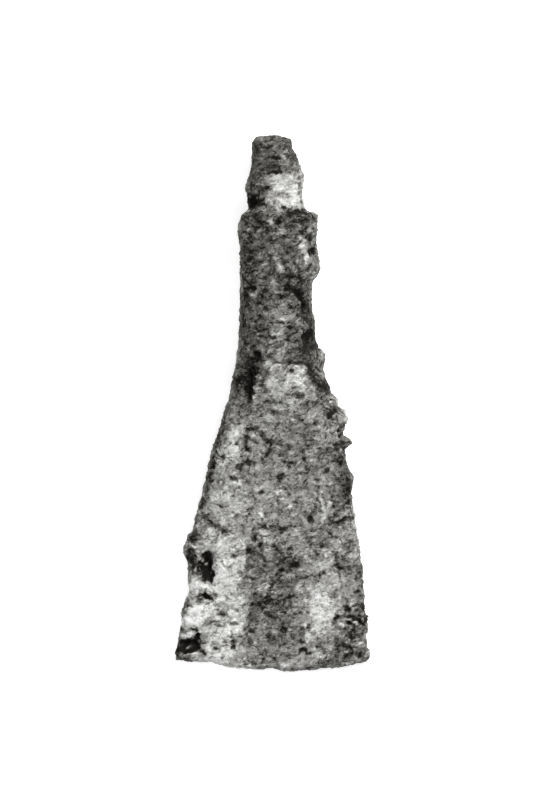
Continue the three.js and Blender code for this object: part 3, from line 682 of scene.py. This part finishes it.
def workMarks(piece):
    noise.seed_set(wedge["seed"])
    data = piece.data
    places = readVectors(data.vertices, "co") / mm
    outward = readVectors(data.vertex_normals, "vector")
    count = len(places)
    facing = smoothStep(*wedge["reliefFacing"], outward[:, 2])
    shown = smoothStep(*wedge["toneFacing"], outward[:, 2])
    flat = places[:, :2].astype(float)
    slow = drift(places, wedge["slowDrift"], wedge["slowPlace"])
    quick = drift(places, wedge["quickDrift"], wedge["quickPlace"])
    rise = np.full(count, wedge["grownBack"])
    tone = np.zeros(count)
    calm = np.full(count, wedge["calm"])
    for mark in wedge["marks"]:
        shape = markShape(mark, flat, slow, quick)
        rise += shape * facing * mark.get("rise", 0.0)
        tone += shape * shown * mark.get("tone", 0.0)
        calm = np.maximum(calm, shape * shown * mark.get("calm", 0.0))
    for crack in wedge["cracks"]:
        shape = crackShape(crack, flat, slow, quick)
        rise -= shape * facing * crack["deep"]
        tone += shape * shown * crack["tone"]
    # the sum is held in softly, so that grains still show in the darkest and the palest marks
    limit = np.where(tone < 0, wedge["darkest"], wedge["palest"])
    tone = limit * np.tanh(tone / limit)
    places += outward * rise[:, None]
    for push in wedge["pushes"]:
        places[:, :2] += markShape(push, flat, slow, quick)[:, None] * push["by"]
    data.vertices.foreach_set("co", (places * mm).astype(np.float32).ravel())
    for name, values in (("tone", tone), ("calm", calm)):
        layer = data.attributes.new(name, "FLOAT", "POINT")
        layer.data.foreach_set("value", values.astype(np.float32))
    data.update()


wedgeSkin = fineSkin("wedgeSkin")
workMarks(wedgeSkin)
print("skin and marks done,", len(wedgeSkin.data.polygons), "faces")


# The crust grows over the skin by rule, and these are the inputs of its tree
crust = {
    "Swell height": 0.45,
    "Swell size": 3.6,
    "Lump height": 0.30,
    "Lump size": 2.2,
    "Grain height": 0.24,
    "Grain size": 0.9,
    "Crack depth": 0.35,
    "Crack width": 0.045,
    "Crack size": 4.5,
    "Pit depth": 0.55,
    "Pit size": 2.6,
    "Pit share": 0.34,
    "Edge raggedness": 2.3,
    "Seed": 7.0,
}
# what stays the same in that tree, in millimetres or as levels of its noises
crustForm = {
    "grainRise": 14,  # degrees by which the crust's grain rises to the right
    "grainStretch": 1.3,  # how many times longer than wide it is
    "warpSize": 1.4,
    "warp": 1.3,
    "creaseLevel": 0.09,
    "lumpGain": 4.0,
    "pitRim": 0.34,
    "pitFloor": 0.08,
    "gapPlace": (40.0, 0.0, 0.0),
    "gapSize": 5.0,
    "gapFrom": -0.02,
    "gapTo": 0.08,
    "levelFrom": 0.7,  # faces steeper than this are more ragged
    "steepFrom": 0.2,  # and in full from here on
    "lowest": (-1.0, -1.0, 0.0),  # in metres; nothing reaches below the floor
}


def stretched(tree, place):
    # the grain runs across the wedge, rising a little to the right
    made = addNode(tree, "ShaderNodeVectorRotate", rotation_type="Z_AXIS")
    feed(tree, made.inputs["Vector"], place)
    made.inputs["Angle"].default_value = -math.radians(crustForm["grainRise"])
    return calcVector(tree, "MULTIPLY", made.outputs[0], (1 / crustForm["grainStretch"], 1.0, 1.0))


def noiseColour(tree, place, size):
    made = addNode(tree, "ShaderNodeTexNoise", noise_dimensions="3D")
    feed(tree, made.inputs["Vector"], place)
    made.inputs["Scale"].default_value = 1 / size
    return calcVector(tree, "SUBTRACT", made.outputs[1], (0.5, 0.5, 0.5))


def cellsAt(tree, place, size):
    made = addNode(tree, "ShaderNodeTexVoronoi", feature="F1")
    feed(tree, made.inputs["Vector"], place)
    made.inputs["Scale"].default_value = 1 / size
    return made


def separateRed(tree, colour):
    parts = addNode(tree, "ShaderNodeSeparateXYZ")
    feed(tree, parts.inputs[0], colour)
    return parts.outputs[0]


def crustLumps(tree, given, place):
    # lumps are billows parted by sharp creases
    crease = calc(tree, "ABSOLUTE", noiseAt(tree, place, given["Lump size"], detail=3, roughness=0.6))
    billow = calc(tree, "SUBTRACT", crease, crustForm["creaseLevel"])
    return calc(tree, "MULTIPLY", billow, calc(tree, "MULTIPLY", given["Lump height"], crustForm["lumpGain"]))


def crustPits(tree, given, place):
    holes = addNode(tree, "ShaderNodeTexVoronoi", feature="F1")
    feed(tree, holes.inputs["Vector"], place)
    feed(tree, holes.inputs["Scale"], calc(tree, "DIVIDE", 1.0, given["Pit size"]))
    chosen = calc(tree, "LESS_THAN", separateRed(tree, holes.outputs["Color"]), given["Pit share"])
    bowl = remap(tree, holes.outputs["Distance"], crustForm["pitRim"], crustForm["pitFloor"])
    return calc(tree, "MULTIPLY", calc(tree, "MULTIPLY", bowl, chosen), given["Pit depth"])


def crustCracks(tree, given, place):
    # winding cracks run where a slow noise crosses its middle, and break off where another is low
    winding = noiseAt(tree, place, given["Crack size"], detail=3, roughness=0.6, distortion=0.4)
    apart = calcVector(tree, "ADD", place, crustForm["gapPlace"])
    gaps = noiseAt(tree, apart, crustForm["gapSize"], detail=1)
    opened = remap(tree, gaps, crustForm["gapFrom"], crustForm["gapTo"])
    line = remap(tree, calc(tree, "ABSOLUTE", winding), given["Crack width"], 0.0)
    return calc(tree, "MULTIPLY", calc(tree, "MULTIPLY", line, opened), given["Crack depth"])


def fineRelief(tree, given, place):
    bumps = noiseAt(tree, place, given["Grain size"], roughness=0.6)
    bumps = calc(tree, "MULTIPLY", bumps, given["Grain height"])
    warp = calcVector(tree, "SCALE", noiseColour(tree, place, crustForm["warpSize"]), crustForm["warp"])
    warped = calcVector(tree, "ADD", place, warp)
    raised = calc(tree, "ADD", crustLumps(tree, given, warped), bumps)
    sunk = calc(tree, "SUBTRACT", raised, crustPits(tree, given, warped))
    return calc(tree, "SUBTRACT", sunk, crustCracks(tree, given, place))


def pushOut(tree, given, geometry, height):
    normal = addNode(tree, "GeometryNodeInputNormal").outputs[0]
    parts = addNode(tree, "ShaderNodeSeparateXYZ")
    feed(tree, parts.inputs[0], normal)
    level = calc(tree, "ABSOLUTE", parts.outputs[2])
    limits = (crustForm["levelFrom"], crustForm["steepFrom"])
    ragged = remap(tree, level, *limits, 1.0, given["Edge raggedness"])
    reach = calc(tree, "MULTIPLY", calc(tree, "MULTIPLY", height, ragged), mm)
    moved = addNode(tree, "GeometryNodeSetPosition")
    feed(tree, moved.inputs["Geometry"], geometry)
    feed(tree, moved.inputs["Offset"], calcVector(tree, "SCALE", normal, reach))
    # what would reach below the floor is worn flat
    now = addNode(tree, "GeometryNodeInputPosition").outputs[0]
    worn = addNode(tree, "GeometryNodeSetPosition")
    feed(tree, worn.inputs["Geometry"], moved.outputs[0])
    feed(tree, worn.inputs["Position"], calcVector(tree, "MAXIMUM", now, crustForm["lowest"]))
    return worn.outputs[0]


def crustTree(material):
    tree = bpy.data.node_groups.new("corrosionCrust", "GeometryNodeTree")
    tree.interface.new_socket("Geometry", in_out="INPUT", socket_type="NodeSocketGeometry")
    for name, value in crust.items():
        tree.interface.new_socket(name, in_out="INPUT", socket_type="NodeSocketFloat").default_value = value
    tree.interface.new_socket("Geometry", in_out="OUTPUT", socket_type="NodeSocketGeometry")
    given = addNode(tree, "NodeGroupInput").outputs
    position = addNode(tree, "GeometryNodeInputPosition").outputs[0]
    place = calcVector(tree, "SCALE", position, 1 / mm)
    grown = stretched(tree, calcVector(tree, "ADD", place, given["Seed"]))
    calm = addNode(tree, "GeometryNodeInputNamedAttribute", data_type="FLOAT")
    calm.inputs["Name"].default_value = "calm"
    rough = calc(tree, "SUBTRACT", 1.0, calm.outputs["Attribute"])
    swell = calc(tree, "MULTIPLY", noiseAt(tree, grown, given["Swell size"]), given["Swell height"])
    fine = fineRelief(tree, given, grown)
    height = calc(tree, "MULTIPLY", calc(tree, "ADD", swell, fine), rough)
    # the material paints shade into hollows and light onto lumps by the relief that is kept here
    kept = addNode(tree, "GeometryNodeStoreNamedAttribute", data_type="FLOAT", domain="POINT")
    feed(tree, kept.inputs["Geometry"], given["Geometry"])
    kept.inputs["Name"].default_value = "relief"
    feed(tree, kept.inputs["Value"], calc(tree, "MULTIPLY", fine, rough))
    whole = addNode(tree, "GeometryNodeRealizeInstances")
    feed(tree, whole.inputs[0], pushOut(tree, given, kept.outputs[0], height))
    painted = addNode(tree, "GeometryNodeSetMaterial")
    feed(tree, painted.inputs["Geometry"], whole.outputs[0])
    painted.inputs["Material"].default_value = material
    feed(tree, addNode(tree, "NodeGroupOutput").inputs[0], painted.outputs[0])
    return tree


# Corroded iron, nearly neutral: blackish pits with a brown tint, grey crust and pale mineral grains
iron = {
    "shades": [
        (0.00, (0.0022, 0.0017, 0.0014)),
        (0.14, (0.0060, 0.0050, 0.0042)),
        (0.25, (0.0210, 0.0195, 0.0170)),
        (0.42, (0.0880, 0.0860, 0.0790)),
        (0.62, (0.2350, 0.2330, 0.2240)),
        (0.82, (0.4900, 0.4900, 0.4800)),
        (1.00, (0.6700, 0.6700, 0.6600)),
    ],
    "base": 0.58,
    "toneWeight": 0.42,
    # how strongly the relief paints shade into the crust's hollows and light onto its lumps
    "reliefShading": 0.75,
    # plain noises, with their size in millimetres; a low edge gives their patches sharp outlines
    "noises": {
        "cloud": {"size": 5.0, "edge": 0.16, "weight": 0.07},
        "patch": {"size": 2.0, "edge": 0.10, "weight": 0.12},
        "speck": {"size": 0.60, "edge": 0.22, "weight": 0.095},
        "dust": {"size": 0.30, "edge": 0.30, "weight": 0.04},
    },
    "dustBump": 0.5,  # how much of the dust's noise goes into the bump
    # flakes have a tone each and sharp outlines, which are bent this far
    "bend": 0.9,
    "bendSize": 1.1,
    "flakes": {
        "broad": {"size": 2.6, "weight": 0.07},
        "small": {"size": 0.9, "weight": 0.08},
    },
    # strokes are short dark or pale curls that stand out from a quiet ground
    "strokes": {
        "dark": {"size": 0.95, "from": -0.05, "to": -0.16, "weight": -0.185},
        "fineDark": {"size": 0.55, "from": -0.08, "to": -0.18, "weight": -0.12},
        "pale": {"size": 0.85, "from": 0.06, "to": 0.17, "weight": 0.15},
    },
    "strokeShift": 17.0,  # keeps one kind of stroke out of step with the next
    # seams are thin dark lines that wind over the crust and break off
    "seams": {
        "long": {"size": 2.6, "wide": 0.030, "weight": 0.18},
        "short": {"size": 1.2, "wide": 0.035, "weight": 0.09},
    },
    # seams break off in gaps, which are so many times larger than the windings of the seam
    "seamGap": {"stretch": 2.2, "from": -0.04, "to": 0.06},
    "holes": {"size": 1.5, "rim": 0.30, "floor": 0.1, "share": 0.25, "weight": 0.29},
    "roughness": 0.72,
    "shine": 0.06,
    "bumpHeight": 0.08,
    "calming": 0.75,  # how much of the grain the calm marks take away
}


def plainGrain(tree, place):
    # slow patches, fine specks, and the height that the specks give the bump
    slow, fine, grains = 0.0, 0.0, {}
    for name, layer in iron["noises"].items():
        grains[name] = noiseAt(tree, place, layer["size"], roughness=0.6)
        patches = remap(tree, grains[name], -layer["edge"], layer["edge"], -0.5, 0.5)
        if name in ("speck", "dust"):
            fine = calc(tree, "MULTIPLY_ADD", patches, layer["weight"], fine)
        else:
            slow = calc(tree, "MULTIPLY_ADD", patches, layer["weight"], slow)
    height = calc(tree, "MULTIPLY_ADD", grains["dust"], iron["dustBump"], grains["speck"])
    return slow, fine, height


def addFlakes(tree, place, shade):
    for flake in iron["flakes"].values():
        colour = cellsAt(tree, place, flake["size"]).outputs["Color"]
        own = calc(tree, "SUBTRACT", separateRed(tree, colour), 0.5)
        shade = calc(tree, "MULTIPLY_ADD", own, flake["weight"], shade)
    return shade


def linesAndHoles(tree, place):
    # each comes with the weight that it has in the shade and in the bump
    for number, stroke in enumerate(iron["strokes"].values()):
        apart = calcVector(tree, "ADD", place, (iron["strokeShift"] * number, 0.0, 0.0))
        curl = noiseAt(tree, apart, stroke["size"], detail=1, distortion=0.5)
        yield remap(tree, curl, stroke["from"], stroke["to"]), stroke["weight"]
    gap = iron["seamGap"]
    for seam in iron["seams"].values():
        middle = calc(tree, "ABSOLUTE", noiseAt(tree, place, seam["size"]))
        gaps = noiseAt(tree, place, seam["size"] * gap["stretch"], detail=1)
        broken = remap(tree, gaps, gap["from"], gap["to"])
        yield calc(tree, "MULTIPLY", remap(tree, middle, seam["wide"], 0.0), broken), -seam["weight"]
    holes = iron["holes"]
    cells = cellsAt(tree, place, holes["size"])
    chosen = calc(tree, "LESS_THAN", separateRed(tree, cells.outputs["Color"]), holes["share"])
    bowl = remap(tree, cells.outputs["Distance"], holes["rim"], holes["floor"])
    yield calc(tree, "MULTIPLY", bowl, chosen), -holes["weight"]


def attributeAt(tree, name):
    return addNode(tree, "ShaderNodeAttribute", attribute_name=name).outputs["Fac"]


def shadeColour(tree, shade):
    ramp = addNode(tree, "ShaderNodeValToRGB")
    stops = ramp.color_ramp.elements
    while len(stops) < len(iron["shades"]):
        stops.new(0.5)
    for stop, (at, colour) in zip(stops, iron["shades"]):
        stop.position = at
        stop.color = (*colour, 1)
    feed(tree, ramp.inputs[0], shade)
    return ramp.outputs[0]


def corrodedIron():
    material = bpy.data.materials.new("corrodedIron")
    material.use_nodes = True
    tree = material.node_tree
    shader = tree.nodes["Principled BSDF"]
    place = calcVector(tree, "SCALE", addNode(tree, "ShaderNodeTexCoord").outputs["Object"], 1 / mm)
    place = stretched(tree, place)
    bend = calcVector(tree, "SCALE", noiseColour(tree, place, iron["bendSize"]), iron["bend"])
    bent = calcVector(tree, "ADD", place, bend)
    shade, fine, height = plainGrain(tree, place)
    shade = addFlakes(tree, bent, shade)
    for line, weight in linesAndHoles(tree, bent):
        shade = calc(tree, "MULTIPLY_ADD", line, weight, shade)
        height = calc(tree, "MULTIPLY_ADD", line, weight, height)
    quiet = calc(tree, "MULTIPLY_ADD", attributeAt(tree, "calm"), -iron["calming"], 1.0)
    shade = calc(tree, "ADD", calc(tree, "MULTIPLY", shade, quiet), fine)
    marked = calc(tree, "MULTIPLY_ADD", attributeAt(tree, "tone"), iron["toneWeight"], iron["base"])
    shade = calc(tree, "ADD", shade, marked)
    # painted shade in the hollows and painted light on the lumps of the crust's relief
    shade = calc(tree, "MULTIPLY_ADD", attributeAt(tree, "relief"), iron["reliefShading"], shade)
    feed(tree, shader.inputs["Base Color"], shadeColour(tree, shade))
    shader.inputs["Roughness"].default_value = iron["roughness"]
    shader.inputs["Specular IOR Level"].default_value = iron["shine"]
    bump = addNode(tree, "ShaderNodeBump")
    bump.inputs["Distance"].default_value = iron["bumpHeight"] * mm
    feed(tree, bump.inputs["Height"], height)
    feed(tree, shader.inputs["Normal"], bump.outputs[0])
    return material


def growCrust(piece, material):
    tree = crustTree(material)
    piece.data.materials.append(material)
    growth = piece.modifiers.new("crust", "NODES")
    growth.node_group = tree
    for socket in tree.interface.items_tree:
        if socket.in_out == "INPUT" and socket.name in crust:
            growth[socket.identifier] = crust[socket.name]
    bakeModifiers(piece)
    piece.data.shade_smooth()
    print("crust grown,", len(piece.data.polygons), "faces")


growCrust(wedgeSkin, corrodedIron())
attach(wedgeSkin, "root")
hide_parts("iron_wedge")


# A pale floor and soft studio light
studio = {
    "floorSide": 6.0,
    "floorDrop": 0.02,  # millimetres that keep the floor clear of the flat back
    "floorShade": 0.92,
    "floorRoughness": 0.9,
    "floorGlow": 0.45,
    "world": 0.30,
    "key": {"from": (0.65, 0.85, 0.95), "side": 0.5, "watts": 34.0},
    "fill": {"from": (-0.3, -0.2, 1.4), "side": 1.2, "watts": 9.0},
}


def layFloor():
    half = studio["floorSide"] / 2
    data = bpy.data.meshes.new("floor")
    corners = [(-half, -half, 0), (half, -half, 0), (half, half, 0), (-half, half, 0)]
    data.from_pydata(corners, [], [(0, 1, 2, 3)])
    floor = bpy.data.objects.new("floor", data)
    floor.location.z = -studio["floorDrop"] * mm
    scene.collection.objects.link(floor)
    paper = bpy.data.materials.new("paleFloor")
    paper.use_nodes = True
    shader = paper.node_tree.nodes["Principled BSDF"]
    shader.inputs["Base Color"].default_value = (*[studio["floorShade"]] * 3, 1)
    shader.inputs["Roughness"].default_value = studio["floorRoughness"]
    shader.inputs["Emission Color"].default_value = (1, 1, 1, 1)
    shader.inputs["Emission Strength"].default_value = studio["floorGlow"]
    data.materials.append(paper)


def hangLight(name, values):
    lamp = bpy.data.lights.new(name, "AREA")
    lamp.shape = "DISK"
    lamp.size = values["side"]
    lamp.energy = values["watts"]
    light = bpy.data.objects.new(name, lamp)
    light.location = values["from"]
    light.rotation_euler = (-Vector(values["from"])).to_track_quat("-Z", "Y").to_euler()
    light.visible_camera = False
    scene.collection.objects.link(light)


layFloor()
hangLight("keyLight", studio["key"])
hangLight("fillLight", studio["fill"])
scene.world = scene.world or bpy.data.worlds.new("studio")
scene.world.use_nodes = True
scene.world.node_tree.nodes["Background"].inputs["Color"].default_value = (1, 1, 1, 1)
scene.world.node_tree.nodes["Background"].inputs["Strength"].default_value = studio["world"]
scene.view_settings.view_transform = "Standard"
print("floor and lights set")
